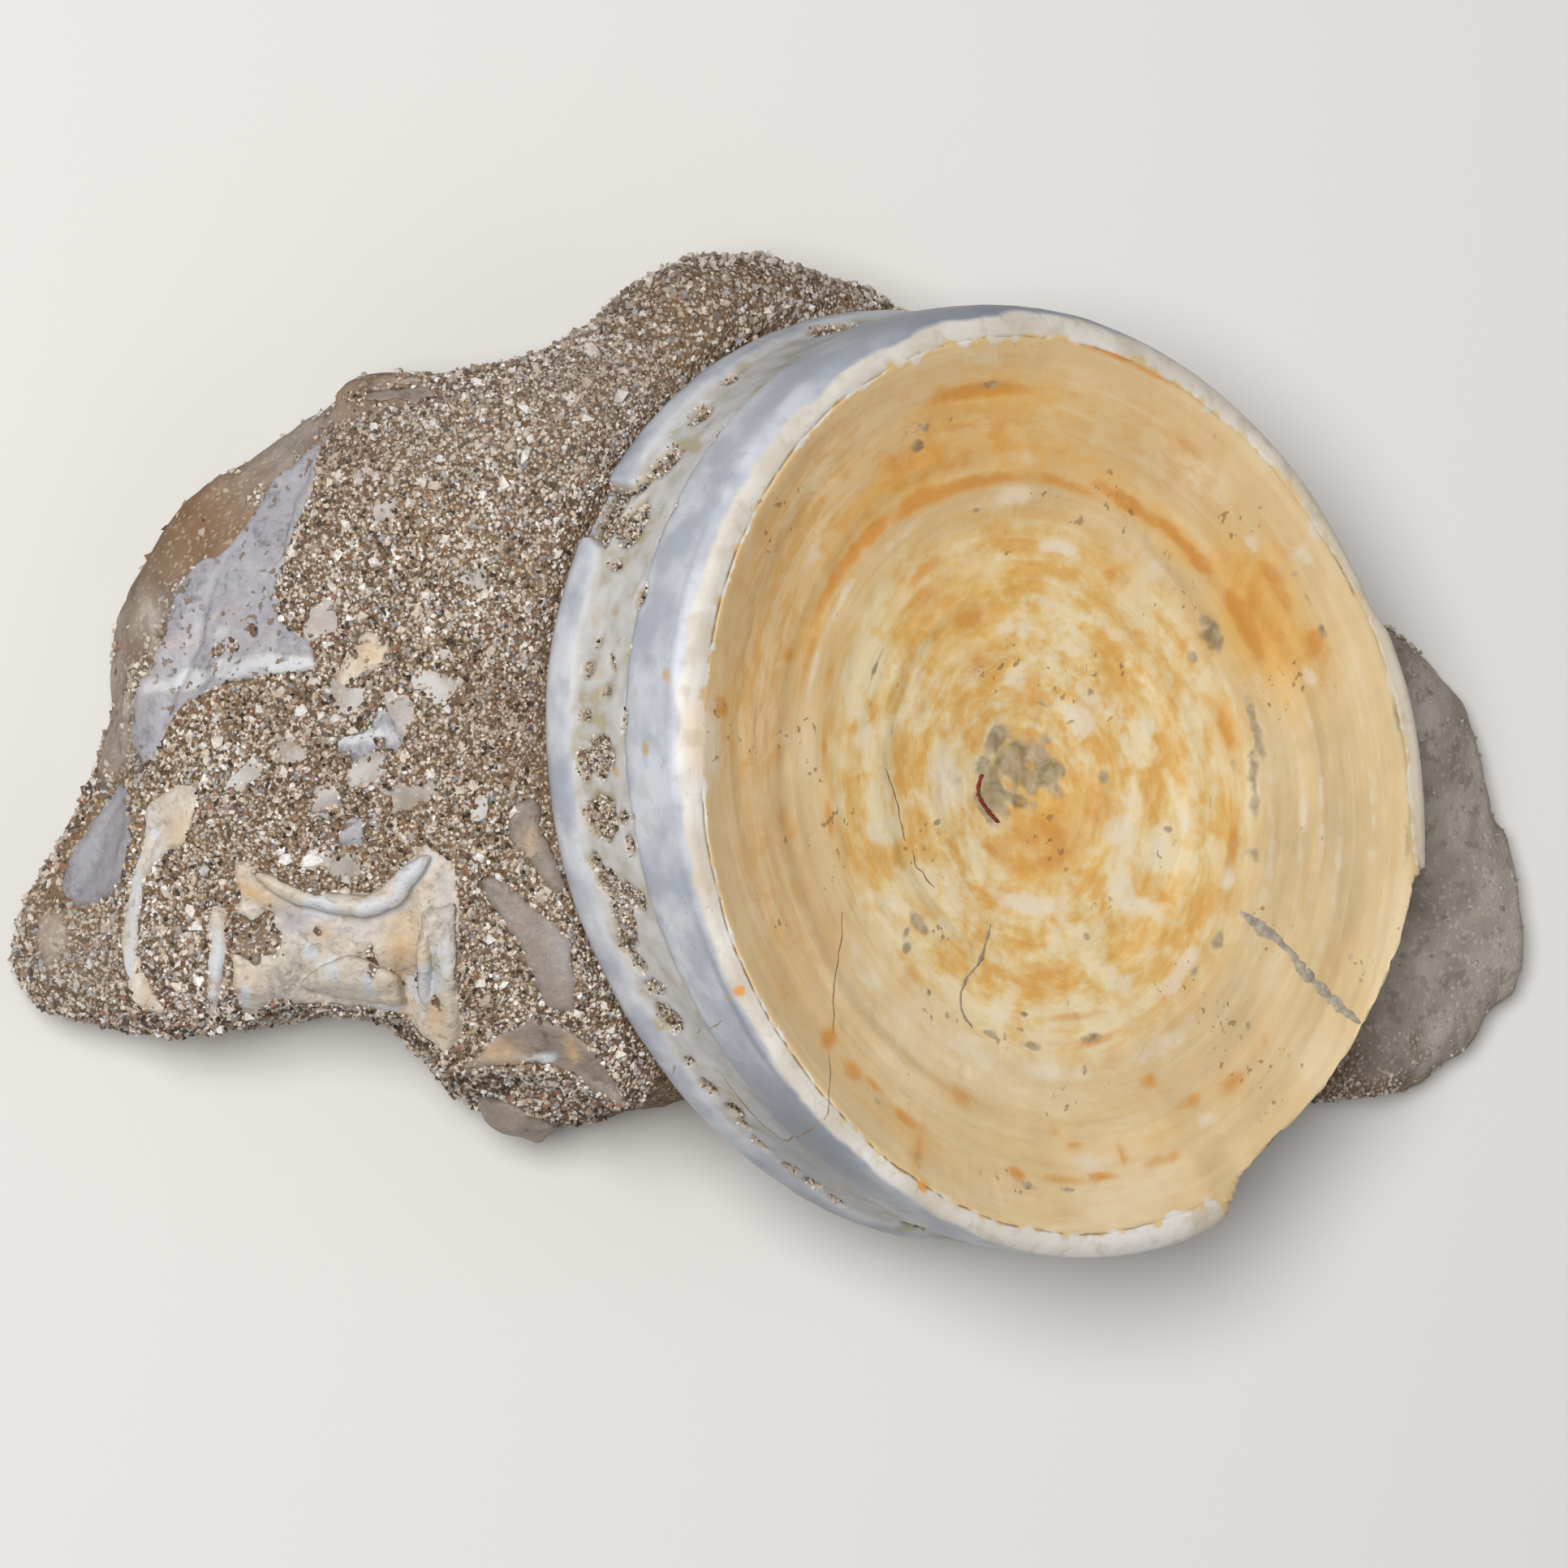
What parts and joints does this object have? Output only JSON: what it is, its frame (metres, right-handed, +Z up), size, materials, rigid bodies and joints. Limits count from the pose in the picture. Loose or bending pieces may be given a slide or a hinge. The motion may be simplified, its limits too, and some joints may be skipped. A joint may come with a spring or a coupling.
{
  "type": "shark vertebra fossil",
  "caption": "Fossil shark vertebra, a dished bone disc with growth rings, lying on a lump of bone-bearing sandstone.",
  "frame": {"origin": "on the flat underside of the sandstone, straight below the middle of the vertebra's open face", "axes": "+X along the lump toward its low ledge, +Y across it, +Z up"},
  "size_m": [0.0884, 0.0533, 0.0315],
  "materials": {
    "vertebra_bone": "satin fossil bone, cream with ochre growth rings and a cool white side",
    "sandstone": "rough, packed grains of tan, brown, grey and white",
    "pale_bone": "matte, pale grey-white",
    "grey_bone": "smooth, warm grey",
    "cream_bone": "satin, cream with ochre stains",
    "brown_bone": "smooth, brownish cream"
  },
  "bodies": {
    "root": {"centrum": "vertebra_bone", "matrix": "sandstone", "bone_fan": "pale_bone", "bone_lens": "grey_bone", "bone_plate": "cream_bone", "bone_splinter": "cream_bone", "broken_bone": "cream_bone", "bone_flake": "grey_bone", "bone_wedge": "grey_bone", "bone_shard": "brown_bone", "chip_tan": "cream_bone", "chip_white": "pale_bone", "chip_grey": "pale_bone", "edge_flake": "brown_bone", "pebble": "brown_bone"}
  },
  "joints": []
}
